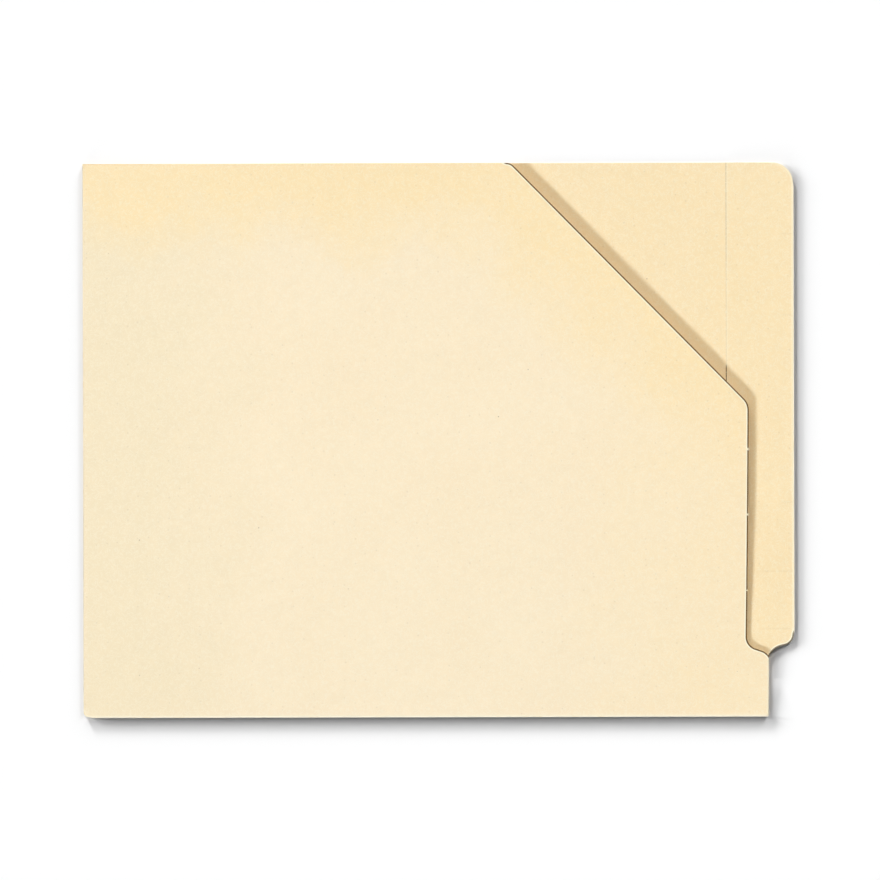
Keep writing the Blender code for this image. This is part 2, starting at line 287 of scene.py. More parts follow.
def manila(name, face, drifted, edge_shade_tone, detail=None):
    """Manila card: buff-dyed pulp, calendered smooth but not coated. To the eye it is a matt cream that
    drifts slowly in colour, faintly cloudy, with short pale fibres lying all ways and a few brown specks
    of bark. Fibres are really about 0.03 mm wide, and are drawn wider so that they show."""
    finish, tree = new_finish(name)
    place = add(tree, "ShaderNodeTexCoord", {})
    mm = add(tree, "ShaderNodeMapping", {0: place.outputs["Object"], "Scale": (1 / MM,) * 3}).outputs[0]
    drift = add(tree, "ShaderNodeTexNoise", {"Vector": mm, "Scale": 1 / DRIFT_SIZE, "Detail": 3.0})
    drifting = add(tree, "ShaderNodeMapRange", {0: drift.outputs[0], 1: DRIFT_SPAN[0], 2: DRIFT_SPAN[1]})
    colour = add(tree, "ShaderNodeMix", {0: drifting.outputs[0], 6: linear(face), 7: linear(drifted)},
                 data_type="RGBA").outputs[2]
    if detail:
        colour = detail(tree, mm, colour)
    cloud = add(tree, "ShaderNodeTexNoise", {"Vector": mm, "Scale": 1 / CLOUD_SIZE, "Detail": 4.0,
                                             "Roughness": CLOUD_BREAKUP})
    clouded = add(tree, "ShaderNodeMapRange", {0: cloud.outputs[0], 1: CLOUD_SPAN[0], 2: CLOUD_SPAN[1],
                                               3: CLOUD_SHADE, 4: 1.0})
    colour = add(tree, "ShaderNodeMix", {0: 1.0, 6: colour, 7: clouded.outputs[0]},
                 data_type="RGBA", blend_type="MULTIPLY").outputs[2]
    fibres = 0.0
    for turn in FIBRE_TURNS:
        laid = add(tree, "ShaderNodeMapping", {0: mm, "Rotation": (0, 0, math.radians(turn)),
                                               "Scale": (FIBRE_LENGTH, FIBRE_WIDTH, 1)},
                   vector_type="TEXTURE")
        strand = add(tree, "ShaderNodeTexNoise", {"Vector": laid.outputs[0], "Scale": 1.0, "Detail": 0.0},
                     noise_dimensions="2D")
        shown = add(tree, "ShaderNodeMapRange", {0: strand.outputs[0], 1: FIBRE_SPAN[0], 2: FIBRE_SPAN[1]})
        fibres = add(tree, "ShaderNodeMath", {0: fibres, 1: shown.outputs[0]}, operation="MAXIMUM").outputs[0]
    paler = add(tree, "ShaderNodeMath", {0: fibres, 1: FIBRE_STRENGTH}, operation="MULTIPLY")
    colour = add(tree, "ShaderNodeMix", {0: paler.outputs[0], 6: colour, 7: linear(FIBRE_CREAM)},
                 data_type="RGBA").outputs[2]
    for spacing, radius, bare, strength in BARK_SPECKS:
        bark = add(tree, "ShaderNodeTexVoronoi", {"Vector": mm, "Scale": 1 / spacing},
                   voronoi_dimensions="2D")
        chance = add(tree, "ShaderNodeSeparateColor", {0: bark.outputs["Color"]})
        size = add(tree, "ShaderNodeMapRange", {0: chance.outputs[0], 1: bare, 2: 1.0, 3: 0.0,
                                                4: radius / spacing})
        inside = add(tree, "ShaderNodeMath", {0: size.outputs[0], 1: bark.outputs["Distance"]},
                     operation="SUBTRACT")
        speck = add(tree, "ShaderNodeMapRange", {0: inside.outputs[0], 1: 0.0, 2: SPECK_SOFTNESS / spacing,
                                                 3: 0.0, 4: strength})
        colour = add(tree, "ShaderNodeMix", {0: speck.outputs[0], 6: colour, 7: linear(BARK_BROWN)},
                     data_type="RGBA").outputs[2]
    # A painted highlight on rims and beside die cuts, then painted dark shade right at a die-cut edge
    rim = add(tree, "ShaderNodeAttribute", {}, attribute_name="highlight_rim")
    rim_highlight = add(tree, "ShaderNodeMapRange", {0: rim.outputs["Fac"], 1: RIM_HIGHLIGHT_SPAN[0], 2: RIM_HIGHLIGHT_SPAN[1],
                                              3: 0.0, 4: RIM_HIGHLIGHT_STRENGTH})
    cut = add(tree, "ShaderNodeAttribute", {}, attribute_name="die_cut")
    cut_highlight = add(tree, "ShaderNodeMapRange", {0: cut.outputs["Fac"], 1: CUT_HIGHLIGHT_SPAN[0], 2: CUT_HIGHLIGHT_SPAN[1]})
    highlight = add(tree, "ShaderNodeMath", {0: rim_highlight.outputs[0], 1: cut_highlight.outputs[0]}, operation="MAXIMUM")
    colour = add(tree, "ShaderNodeMix", {0: highlight.outputs[0], 6: colour, 7: linear(HIGHLIGHT_CREAM)},
                 data_type="RGBA").outputs[2]
    edge_shade = add(tree, "ShaderNodeMapRange", {0: cut.outputs["Fac"], 1: EDGE_SHADE_SPAN[0], 2: EDGE_SHADE_SPAN[1]})
    colour = add(tree, "ShaderNodeMix", {0: edge_shade.outputs[0], 6: colour, 7: linear(edge_shade_tone)},
                 data_type="RGBA").outputs[2]
    tooth = add(tree, "ShaderNodeTexNoise", {"Vector": mm, "Scale": 1 / TOOTH_SIZE, "Detail": 3.0})
    relief = add(tree, "ShaderNodeMath", {0: fibres, 1: tooth.outputs[0]}, operation="ADD")
    bump = add(tree, "ShaderNodeBump", {"Strength": TOOTH_STRENGTH, "Distance": TOOTH_DEPTH * MM,
                                        "Height": relief.outputs[0]})
    rough = add(tree, "ShaderNodeMapRange", {0: cloud.outputs[0], 1: CLOUD_SPAN[0], 2: CLOUD_SPAN[1],
                                             3: CARD_ROUGHNESS[0], 4: CARD_ROUGHNESS[1]})
    surface(tree, colour, rough.outputs[0], bump.outputs[0], CARD_GLOSS)
    return finish


tab_outline = [
    (body_right, tab_foot, OGEE_RADIUS, DIE_CUT),
    (tab_edge, tab_foot + TAB_FOOT_RISE, TAB_FOOT_RADIUS, HIGHLIT_FOLD),
    (tab_edge, card_top, TAB_TOP_RADIUS, TRIMMED),
]
back_leaf = card("back_leaf", [
    (card_left, card_bottom, CORNER_RADIUS, FOLDED),
    (body_right, card_bottom, 0, HIGHLIT_CUT),
    *tab_outline,
    (card_left, card_top, 0, TRIMMED),
], 0.0, BACK_STEP)
inner_manila = manila("manila_inner_face", INNER_BUFF, INNER_DRIFT, EDGE_SHADE_GREY)
back_leaf.data.materials.append(inner_manila)
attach(back_leaf, "pocket")
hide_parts("back_panel")

# Tab ply
# A strip of the same card, folded back over the end tab and pasted down so that the tab is two plies
# stiff. Its inner edge is drawn as an upright line of painted shade beside a painted highlight, and faint
# darker lines cross the tab.
PLY_TAPER = 4.0
PLY_DRIFT = "#FBE5B8"
FULL_MARKS = (-57.3, -82.3)  # heights of the marks
FULL_MARK_FADE = 4.0
SHORT_MARKS = (89.7, 54.3, -27.2)
SHORT_MARK_REACH = 5.0
SHORT_MARK_FADE = 1.0
MARK_WIDTH = 0.7
MARK_STRENGTH = 0.5
MARK_BUFF = "#F0D9AB"
PLY_HIGHLIGHT_WIDTH = 1.1  # painted highlight beside the ply's inner edge
PLY_HIGHLIGHT_FADE = 0.2
PLY_HIGHLIGHT_STRENGTH = 0.25
LINE_WIDTH = 0.4  # painted shade on that edge
LINE_FADE = 0.1
# Painted dark shade at the front leaf's die-cut edges and on the ply's inner edge
EDGE_SHADE_BROWN = "#654710"
SHADED_TOP = 31.6  # height below which the line's painted shade is darkest, where the front leaf shades it
SHADED_FADE = 1.6
UPPER_SHADE_SPAN = (72.0, 84.0)  # heights over which the line's painted shade grows stronger
UPPER_SHADE_STRENGTH = (0.12, 0.24)  # strength of the line below and above them

ply_low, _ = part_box("tab_ply")
ply_left = ply_low.x / MM
ply_foot = ply_low.y / MM


def tab_marks(tree, mm, colour):
    """Faint darker lines across the tab, the short ones on its outer part alone, and the ply's inner edge: a
    painted highlight and a line of painted shade, a little stronger at the top and darkest under the front
    leaf."""
    axes = add(tree, "ShaderNodeSeparateXYZ", {0: mm})
    short_start = tab_edge - SHORT_MARK_REACH
    outer = add(tree, "ShaderNodeMapRange", {0: axes.outputs[0], 1: short_start - SHORT_MARK_FADE,
                                             2: short_start + SHORT_MARK_FADE})
    tab_only = add(tree, "ShaderNodeMapRange", {0: axes.outputs[0], 1: body_right - FULL_MARK_FADE,
                                                2: body_right})
    for height in FULL_MARKS + SHORT_MARKS:
        reach = outer if height in SHORT_MARKS else tab_only
        away = add(tree, "ShaderNodeMath", {0: axes.outputs[1], 1: height}, operation="SUBTRACT")
        off = add(tree, "ShaderNodeMath", {0: away.outputs[0]}, operation="ABSOLUTE")
        line = add(tree, "ShaderNodeMapRange", {0: off.outputs[0], 1: 0.0, 2: MARK_WIDTH,
                                                3: MARK_STRENGTH, 4: 0.0})
        mark = add(tree, "ShaderNodeMath", {0: line.outputs[0], 1: reach.outputs[0]}, operation="MULTIPLY")
        colour = add(tree, "ShaderNodeMix", {0: mark.outputs[0], 6: colour, 7: linear(MARK_BUFF)},
                     data_type="RGBA").outputs[2]
    inside = add(tree, "ShaderNodeMath", {0: axes.outputs[0], 1: ply_left}, operation="SUBTRACT")
    # Painted highlight beside the ply's edge, then painted shade on the edge itself
    ply_highlight = add(tree, "ShaderNodeMapRange", {0: inside.outputs[0], 1: PLY_HIGHLIGHT_WIDTH - PLY_HIGHLIGHT_FADE,
                                             2: PLY_HIGHLIGHT_WIDTH, 3: PLY_HIGHLIGHT_STRENGTH, 4: 0.0})
    colour = add(tree, "ShaderNodeMix", {0: ply_highlight.outputs[0], 6: colour, 7: linear(HIGHLIGHT_CREAM)},
                 data_type="RGBA").outputs[2]
    line = add(tree, "ShaderNodeMapRange", {0: inside.outputs[0], 1: LINE_WIDTH - LINE_FADE,
                                            2: LINE_WIDTH, 3: 1.0, 4: 0.0})
    # The painted shade is darkest low down, where the front leaf shades the edge, and grows a little towards
    # the top
    leaf_shade = add(tree, "ShaderNodeMapRange", {0: axes.outputs[1], 1: SHADED_TOP,
                                             2: SHADED_TOP + SHADED_FADE, 3: 1.0, 4: 0.0})
    lifted = add(tree, "ShaderNodeMapRange", {0: axes.outputs[1], 1: UPPER_SHADE_SPAN[0], 2: UPPER_SHADE_SPAN[1],
                                              3: UPPER_SHADE_STRENGTH[0], 4: UPPER_SHADE_STRENGTH[1]})
    shown = add(tree, "ShaderNodeMath", {0: leaf_shade.outputs[0], 1: lifted.outputs[0]}, operation="MAXIMUM")
    dark = add(tree, "ShaderNodeMath", {0: line.outputs[0], 1: shown.outputs[0]}, operation="MULTIPLY")
    return add(tree, "ShaderNodeMix", {0: dark.outputs[0], 6: colour, 7: linear(EDGE_SHADE_BROWN)},
               data_type="RGBA").outputs[2]


tab_ply = card("tab_ply_face", [
    (ply_left, ply_foot + PLY_TAPER, 0, TRIMMED),
    (body_right, ply_foot, 0, HIGHLIT_CUT),
    *tab_outline,
    (ply_left, card_top, 0, TRIMMED),
], ply_low.z / MM, BACK_STEP)
tab_ply.data.materials.append(manila("manila_tab_ply", INNER_BUFF, PLY_DRIFT, EDGE_SHADE_GREY, tab_marks))
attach(tab_ply, "pocket")
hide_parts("tab_ply")

# Creases
# Where the sheet is scored and folded, at the tab's outer edge, the bottom and the left side. The card
# turns over a half round, and the stretched outer skin is rubbed pale, with fine cracks along it. Where
# a rounded corner is die cut through a fold, the cut takes the end of the half round away.
CREASE_ARCS = 13  # points over the half round
CREASE_STEP = 0.5
CREASE_RIPPLE = 0.012
RIPPLE_LENGTH = 14.0
SQUARE_END = 0.01  # an end that no corner is cut through
CREASE_CREAM = "#FFF3DB"
CREASE_CRACK = "#F3DDB0"
CREASE_ROUGHNESS = (0.62, 0.72)
CREASE_GLOSS = 0.3
CRACK_LENGTH = 6.0
CRACK_WIDTH = 0.25
CRACK_SPAN = (0.6, 0.7)
CRACK_STRENGTH = 0.7
CRACK_DEPTH = 0.02
CRACK_RELIEF = 0.3


def grow_tree(name, inputs):
    """An empty tree of that name, the identifiers of its inputs, and the sockets that give their values."""
    tree = bpy.data.node_groups.new(name, "GeometryNodeTree")
    tree.interface.new_socket("Geometry", in_out="OUTPUT", socket_type="NodeSocketGeometry")
    identifiers = {
        label: tree.interface.new_socket(label, in_out="INPUT", socket_type="NodeSocket" + kind).identifier
        for label, kind in inputs.items()
    }
    return tree, identifiers, add(tree, "NodeGroupInput", {}).outputs


def close_tree(tree, shape, finish):
    """The tree's end: the shape as real geometry, in its finish."""
    whole = add(tree, "GeometryNodeRealizeInstances", {0: shape})
    faced = add(tree, "GeometryNodeSetMaterial", {"Geometry": whole.outputs[0], "Material": finish})
    add(tree, "NodeGroupOutput", {0: faced.outputs[0]})


def grown(name, mesh, tree, identifiers, values):
    """A plain mesh object from a tree, with the tree's inputs set by their identifiers."""
    seed = bpy.data.objects.new(name, mesh)
    bpy.context.scene.collection.objects.link(seed)
    growth = seed.modifiers.new("growth", "NODES")
    growth.node_group = tree
    for label, value in values.items():
        growth[identifiers[label]] = value
    depsgraph = bpy.context.evaluated_depsgraph_get()
    plain = bpy.data.meshes.new_from_object(seed.evaluated_get(depsgraph), depsgraph=depsgraph)
    seed.modifiers.remove(growth)
    seed.data = plain
    plain.name = name
    return seed


crease_tree, crease_inputs, asked = grow_tree("card_crease", {
    "Length": "Float", "Radius": "Float", "Ripple": "Float", "Start Round": "Float", "End Round": "Float",
    "Turn": "Vector", "Middle": "Vector", "Steps": "Int", "Finish": "Material",
})
strip = add(crease_tree, "GeometryNodeMeshGrid", {"Size X": asked["Length"], "Size Y": math.pi,
                                                  "Vertices X": asked["Steps"], "Vertices Y": CREASE_ARCS})
position = add(crease_tree, "GeometryNodeInputPosition", {})
spot = add(crease_tree, "ShaderNodeSeparateXYZ", {0: position.outputs[0]})
wave = add(crease_tree, "ShaderNodeTexNoise", {"W": spot.outputs[0], "Scale": 1 / (RIPPLE_LENGTH * MM),
                                               "Detail": 2.0}, noise_dimensions="1D")
worn = add(crease_tree, "ShaderNodeMath", {0: wave.outputs[0], 1: asked["Ripple"]}, operation="MULTIPLY")
bent = add(crease_tree, "ShaderNodeMath", {0: asked["Radius"], 1: worn.outputs[0]}, operation="SUBTRACT")
outward = add(crease_tree, "ShaderNodeMath", {0: spot.outputs[1]}, operation="COSINE")
upward = add(crease_tree, "ShaderNodeMath", {0: spot.outputs[1]}, operation="SINE")
half_length = add(crease_tree, "ShaderNodeMath", {0: asked["Length"], 1: 0.5}, operation="MULTIPLY")
left_standing = 1.0
for rounded, far_along in (("Start Round", "ADD"), ("End Round", "SUBTRACT")):
    from_end = add(crease_tree, "ShaderNodeMath", {0: half_length.outputs[0], 1: spot.outputs[0]},
                   operation=far_along)
    into_round = add(crease_tree, "ShaderNodeMapRange", {0: from_end.outputs[0], 1: 0.0, 2: asked[rounded],
                                                         3: 1.0, 4: 0.0})
    bite = add(crease_tree, "ShaderNodeMath", {0: into_round.outputs[0], 1: 2.0}, operation="POWER")
    left_standing = add(crease_tree, "ShaderNodeMath", {0: left_standing, 1: bite.outputs[0]},
                        operation="SUBTRACT").outputs[0]
kept = add(crease_tree, "ShaderNodeMath", {0: outward.outputs[0], 1: left_standing}, operation="MINIMUM")
inward = add(crease_tree, "ShaderNodeMath", {0: kept.outputs[0], 1: -1.0}, operation="MULTIPLY")
sweep = add(crease_tree, "ShaderNodeCombineXYZ", {1: inward.outputs[0], 2: upward.outputs[0]})
rolled = add(crease_tree, "ShaderNodeVectorMath", {0: sweep.outputs[0], "Scale": bent.outputs[0]},
             operation="SCALE")
length = add(crease_tree, "ShaderNodeCombineXYZ", {0: spot.outputs[0]})
curled = add(crease_tree, "ShaderNodeVectorMath", {0: rolled.outputs[0], 1: length.outputs[0]},
             operation="ADD")
shaped = add(crease_tree, "GeometryNodeSetPosition", {"Geometry": strip.outputs[0],
                                                      "Position": curled.outputs[0]})
placed = add(crease_tree, "GeometryNodeTransform", {"Geometry": shaped.outputs[0],
                                                    "Translation": asked["Middle"],
                                                    "Rotation": asked["Turn"]})
close_tree(crease_tree, placed.outputs[0], asked["Finish"])

# Rubbed crease: the same card with its skin stretched, so it looks paler and smoother than the flat faces,
# with short darker cracks along the fold. The cracks are drawn wider than the real hair lines.
rubbed_crease, skin = new_finish("manila_rubbed_crease")
skin_place = add(skin, "ShaderNodeTexCoord", {})
skin_mm = add(skin, "ShaderNodeMapping", {0: skin_place.outputs["Object"], "Scale": (1 / MM,) * 3}).outputs[0]
skin_cloud = add(skin, "ShaderNodeTexNoise", {"Vector": skin_mm, "Scale": 1 / CLOUD_SIZE, "Detail": 4.0})
skin_laid = add(skin, "ShaderNodeMapping", {0: skin_mm, "Scale": (1 / CRACK_LENGTH, 1 / CRACK_LENGTH,
                                                                  1 / CRACK_WIDTH)})
skin_crack = add(skin, "ShaderNodeTexNoise", {"Vector": skin_laid.outputs[0], "Scale": 1.0, "Detail": 1.0})
skin_line = add(skin, "ShaderNodeMapRange", {0: skin_crack.outputs[0], 1: CRACK_SPAN[0], 2: CRACK_SPAN[1],
                                             3: 0.0, 4: CRACK_STRENGTH})
skin_colour = add(skin, "ShaderNodeMix", {0: skin_line.outputs[0], 6: linear(CREASE_CREAM),
                                          7: linear(CREASE_CRACK)}, data_type="RGBA")
skin_rough = add(skin, "ShaderNodeMapRange", {0: skin_cloud.outputs[0], 1: CLOUD_SPAN[0], 2: CLOUD_SPAN[1],
                                              3: CREASE_ROUGHNESS[0], 4: CREASE_ROUGHNESS[1]})
skin_bump = add(skin, "ShaderNodeBump", {"Strength": CRACK_RELIEF, "Distance": CRACK_DEPTH * MM,
                                         "Height": skin_crack.outputs[0]}, invert=True)
surface(skin, skin_colour.outputs[2], skin_rough.outputs[0], skin_bump.outputs[0], CREASE_GLOSS)

for node, turn, end_corners in (
    ("tab_fold", 90, (TAB_FOOT_RADIUS, TAB_TOP_RADIUS)),
    ("bottom_fold", 0, (CORNER_RADIUS, 0.0)),
    ("side_fold", -90, (0.0, CORNER_RADIUS)),
):
    low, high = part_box(node)
    middle = (low + high) / 2
    radius = (high.z - low.z) / 2
    rounds = [max(math.sqrt(2 * corner * MM * radius), SQUARE_END * MM) for corner in end_corners]
    if turn:
        span = high.y - low.y
        middle.x = low.x if turn > 0 else high.x
    else:
        span = high.x - low.x
        middle.y = high.y
    crease = grown(node + "_crease", bpy.data.meshes.new("crease_seed"), crease_tree, crease_inputs, {
        "Length": span,
        "Radius": radius,
        "Ripple": CREASE_RIPPLE * MM,
        "Start Round": rounds[0],
        "End Round": rounds[1],
        "Turn": (0.0, 0.0, math.radians(turn)),
        "Middle": tuple(middle),
        "Steps": math.ceil(span / (CREASE_STEP * MM)),
        "Finish": rubbed_crease,
    })
    wall = crease.modifiers.new("card_wall", "SOLIDIFY")
    wall.thickness = card_thickness * MM
    wall.offset = -1.0
    depsgraph = bpy.context.evaluated_depsgraph_get()
    crease.data = bpy.data.meshes.new_from_object(crease.evaluated_get(depsgraph), depsgraph=depsgraph)
    crease.modifiers.remove(wall)
    crease.data.shade_smooth()
    crease.data.set_sharp_from_angle(angle=SHARP_ANGLE)
    # Light from a crease's own lamp doesn't bounce on to the table beside it
    crease.visible_diffuse = False
    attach(crease, "pocket")
    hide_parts(node)

# Side flap and paste
# A narrow flap of card folded in behind the front leaf's left edge and pasted to the back leaf, which
# closes that side, and the thin films of dried paste that hold it and the tab ply down.
PASTE_STREAK = 3.0
STREAK_STRETCH = 5.0
PASTE_CREAM = "#EFE6CF"
PASTE_AMBER = "#DDCFA9"
PASTE_ROUGHNESS = (0.35, 0.55)
PASTE_GLOSS = 0.5
PASTE_DEPTH = 0.02
PASTE_RELIEF = 0.2

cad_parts["side_flap"].data.materials.clear()
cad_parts["side_flap"].data.materials.append(inner_manila)
# Dried vegetable paste, rolled on: pale and slightly shiny, with streaks where the roller left more.
paste, film = new_finish("dried_paste")
film_place = add(film, "ShaderNodeTexCoord", {})
film_laid = add(film, "ShaderNodeMapping", {0: film_place.outputs["Object"],
                                            "Scale": (1 / (PASTE_STREAK * MM),
                                                      1 / (STREAK_STRETCH * PASTE_STREAK * MM), 1 / MM)})
film_streak = add(film, "ShaderNodeTexNoise", {"Vector": film_laid.outputs[0], "Scale": 1.0, "Detail": 3.0})
film_colour = add(film, "ShaderNodeMix", {0: film_streak.outputs[0], 6: linear(PASTE_CREAM),
                                          7: linear(PASTE_AMBER)}, data_type="RGBA")
film_rough = add(film, "ShaderNodeMapRange", {0: film_streak.outputs[0], 3: PASTE_ROUGHNESS[0],
                                              4: PASTE_ROUGHNESS[1]})
film_bump = add(film, "ShaderNodeBump", {"Strength": PASTE_RELIEF, "Distance": PASTE_DEPTH * MM,
                                         "Height": film_streak.outputs[0]})
surface(film, film_colour.outputs[2], film_rough.outputs[0], film_bump.outputs[0], PASTE_GLOSS)
for node in ("side_glue", "tab_glue"):
    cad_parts[node].data.materials.clear()
    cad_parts[node].data.materials.append(paste)

# Front leaf
# The front panel of the same card, cut away on the diagonal and down the right so that papers slide in.
# It is held at the bottom and left creases and stands a few millimetres off the back leaf elsewhere.
FRONT_STEP = 4.0
FRONT_BULGE = 4.4
BULGE_RISE = 110.0  # distance from a held edge over which it rises
DIAGONAL_START = 186.3
DIAGONAL_TOP_RADIUS = 4.5
DIAGONAL_ANGLE = math.radians(45.4)
DIAGONAL_END_RADIUS = 7.0
CUT_INSET = 8.8
CUT_LEAN = 0.8
CUT_FOOT = 31.1
CUT_FOOT_DROP = 2.5
CUT_FOOT_RADIUS = 6.0
NOTCH_HEIGHT = 26.8
NOTCH_RUN = 2.0
FRONT_CREAM = "#FCEBCA"
FRONT_DRIFT = "#FBE9C7"
FRONT_YELLOWER = "#FCE5B6"
FRONT_GREYED = "#F6E6C3"
MOTTLE_SIZE = 30.0
MOTTLE_SPAN = (0.25, 0.75)
MOTTLE_STRAY = 18.0  # how far the bands of tone wander
# Distances from an edge at which its tone starts and is full
LEFT_BAND = (85, 25)
TOP_BAND = (42, 12)
DIAGONAL_BAND = (75, 15)
RIGHT_BAND = (80, 10)
LEFT_STRENGTH = 0.9
RIGHT_STRENGTH = 0.5

front_left, front_bottom, front_base = front_low / MM
front_top = front_high.y / MM
cut_right = body_right - CUT_INSET
diagonal_x = cad_box[0].x / MM + DIAGONAL_START
diagonal_low = front_top - (cut_right - diagonal_x) * math.tan(DIAGONAL_ANGLE)

lift_tree, lift_inputs, asked = grow_tree("leaf_bulge", {
    "Leaf": "Geometry", "Left": "Float", "Bottom": "Float", "Rise": "Float", "Bulge": "Float",
    "Finish": "Material",
})
position = add(lift_tree, "GeometryNodeInputPosition", {})
spot = add(lift_tree, "ShaderNodeSeparateXYZ", {0: position.outputs[0]})
swell = 1.0
for axis, held in ((0, "Left"), (1, "Bottom")):
    end = add(lift_tree, "ShaderNodeMath", {0: asked[held], 1: asked["Rise"]}, operation="ADD")
    share = add(lift_tree, "ShaderNodeMapRange", {0: spot.outputs[axis], 1: asked[held], 2: end.outputs[0],
                                                  3: 0.0, 4: math.pi / 2})
    wave = add(lift_tree, "ShaderNodeMath", {0: share.outputs[0]}, operation="SINE")
    swell = add(lift_tree, "ShaderNodeMath", {0: swell, 1: wave.outputs[0]}, operation="MULTIPLY").outputs[0]
lifted = add(lift_tree, "ShaderNodeMath", {0: swell, 1: asked["Bulge"]}, operation="MULTIPLY")
upward = add(lift_tree, "ShaderNodeCombineXYZ", {2: lifted.outputs[0]})
raised = add(lift_tree, "GeometryNodeSetPosition", {"Geometry": asked["Leaf"], "Offset": upward.outputs[0]})
close_tree(lift_tree, raised.outputs[0], asked["Finish"])


def front_tone_bands(tree, mm, colour):
    """The card is yellower along the top and the cut edges, and greyer at the left, in bands that
    wander."""
    axes = add(tree, "ShaderNodeSeparateXYZ", {0: mm})
    mottle = add(tree, "ShaderNodeTexNoise", {"Vector": mm, "Scale": 1 / MOTTLE_SIZE, "Detail": 3.0})
    stray = add(tree, "ShaderNodeMapRange", {0: mottle.outputs[0], 1: MOTTLE_SPAN[0], 2: MOTTLE_SPAN[1],
                                             3: -MOTTLE_STRAY, 4: MOTTLE_STRAY})
    side = add(tree, "ShaderNodeMath", {0: axes.outputs[0], 1: stray.outputs[0]}, operation="ADD")
    near_left = add(tree, "ShaderNodeMapRange", {0: side.outputs[0], 1: front_left + LEFT_BAND[0],
                                                 2: front_left + LEFT_BAND[1], 3: 0.0, 4: LEFT_STRENGTH})
    colour = add(tree, "ShaderNodeMix", {0: near_left.outputs[0], 6: colour, 7: linear(FRONT_GREYED)},
                 data_type="RGBA").outputs[2]
    top = add(tree, "ShaderNodeMath", {0: axes.outputs[1], 1: stray.outputs[0]}, operation="ADD")
    near_top = add(tree, "ShaderNodeMapRange", {0: top.outputs[0], 1: front_top - TOP_BAND[0],
                                                2: front_top - TOP_BAND[1]})
    slope = add(tree, "ShaderNodeMath", {0: axes.outputs[0], 1: axes.outputs[1]}, operation="ADD")
    cut = add(tree, "ShaderNodeMath", {0: slope.outputs[0], 1: stray.outputs[0]}, operation="ADD")
    diagonal_sum = diagonal_x + front_top
    near_cut = add(tree, "ShaderNodeMapRange", {0: cut.outputs[0], 1: diagonal_sum - DIAGONAL_BAND[0],
                                                2: diagonal_sum - DIAGONAL_BAND[1]})
    near_right = add(tree, "ShaderNodeMapRange", {0: side.outputs[0], 1: cut_right - RIGHT_BAND[0],
                                                  2: cut_right - RIGHT_BAND[1], 3: 0.0, 4: RIGHT_STRENGTH})
    cut_sides = add(tree, "ShaderNodeMath", {0: near_cut.outputs[0], 1: near_right.outputs[0]},
                    operation="MAXIMUM")
    toned = add(tree, "ShaderNodeMath", {0: near_top.outputs[0], 1: cut_sides.outputs[0]},
                operation="MAXIMUM")
    return add(tree, "ShaderNodeMix", {0: toned.outputs[0], 6: colour, 7: linear(FRONT_YELLOWER)},
               data_type="RGBA").outputs[2]


flat_leaf = card("front_leaf", [
    (front_left, front_bottom, CORNER_RADIUS, HIGHLIT_FOLD),
    (body_right, front_bottom, 0, HIGHLIT_CUT),
    (body_right, folder_bottom + NOTCH_HEIGHT, 0, DIE_CUT),
    (body_right - NOTCH_RUN, folder_bottom + CUT_FOOT - CUT_FOOT_DROP, CUT_FOOT_RADIUS, DIE_CUT),
    (cut_right - CUT_LEAN, folder_bottom + CUT_FOOT, CUT_FOOT_RADIUS, DIE_CUT),
    (cut_right, diagonal_low, DIAGONAL_END_RADIUS, DIE_CUT),
    (diagonal_x, front_top, DIAGONAL_TOP_RADIUS, TRIMMED),
    (front_left, front_top, 0, FOLDED),
], front_base, FRONT_STEP)
flat_mesh = flat_leaf.data
bpy.data.objects.remove(flat_leaf)
outer_manila = manila("manila_front_face", FRONT_CREAM, FRONT_DRIFT, EDGE_SHADE_BROWN, front_tone_bands)
front_leaf = grown("front_leaf", flat_mesh, lift_tree, lift_inputs, {
    "Left": front_low.x,
    "Bottom": front_low.y,
    "Rise": BULGE_RISE * MM,
    "Bulge": FRONT_BULGE * MM,
    "Finish": outer_manila,
})
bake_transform(front_leaf)
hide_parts("front_panel", "front_lip")

# Nick tufts
# Three small tufts on the upright cut, where the die left the card uncut at a nick and it was torn free.
# They are fuzzy bundles of the card's own fibres, paler than the cut edge round them.
NICKS = ((-4.1, 1.15), (-32.4, 1.0), (-65.4, 0.7))  # height on the cut, and size of the tuft
TUFT_FIBRES = 85
TUFT_HEIGHT = 0.36
TUFT_SPREAD = ((-2.0, -0.9, -0.05), (0.1, 0.9, 0.15))  # least and most, in tuft heights
TUFT_LEAN = ((0.0, 1.2, -0.75), (0.0, 1.5, 0.75))  # least and most, in radians
TUFT_SIZES = (0.5, 1.0)  # least and most share of a fibre's full size
TUFT_SEED = 7
TUFT_FIBRE_LENGTH = 0.6
TUFT_FIBRE_RADIUS = 0.08
TUFT_FIBRE_TIP = 0.02
TUFT_FIBRE_SIDES = 6
PULP_SIZE = 0.4
PULP_WHITE = "#FFF7E4"
PULP_CREAM = "#F0DFB9"
PULP_ROUGHNESS = (0.85, 0.95)
PULP_GLOSS = 0.5
PULP_DEPTH = 0.02
PULP_RELIEF = 0.3

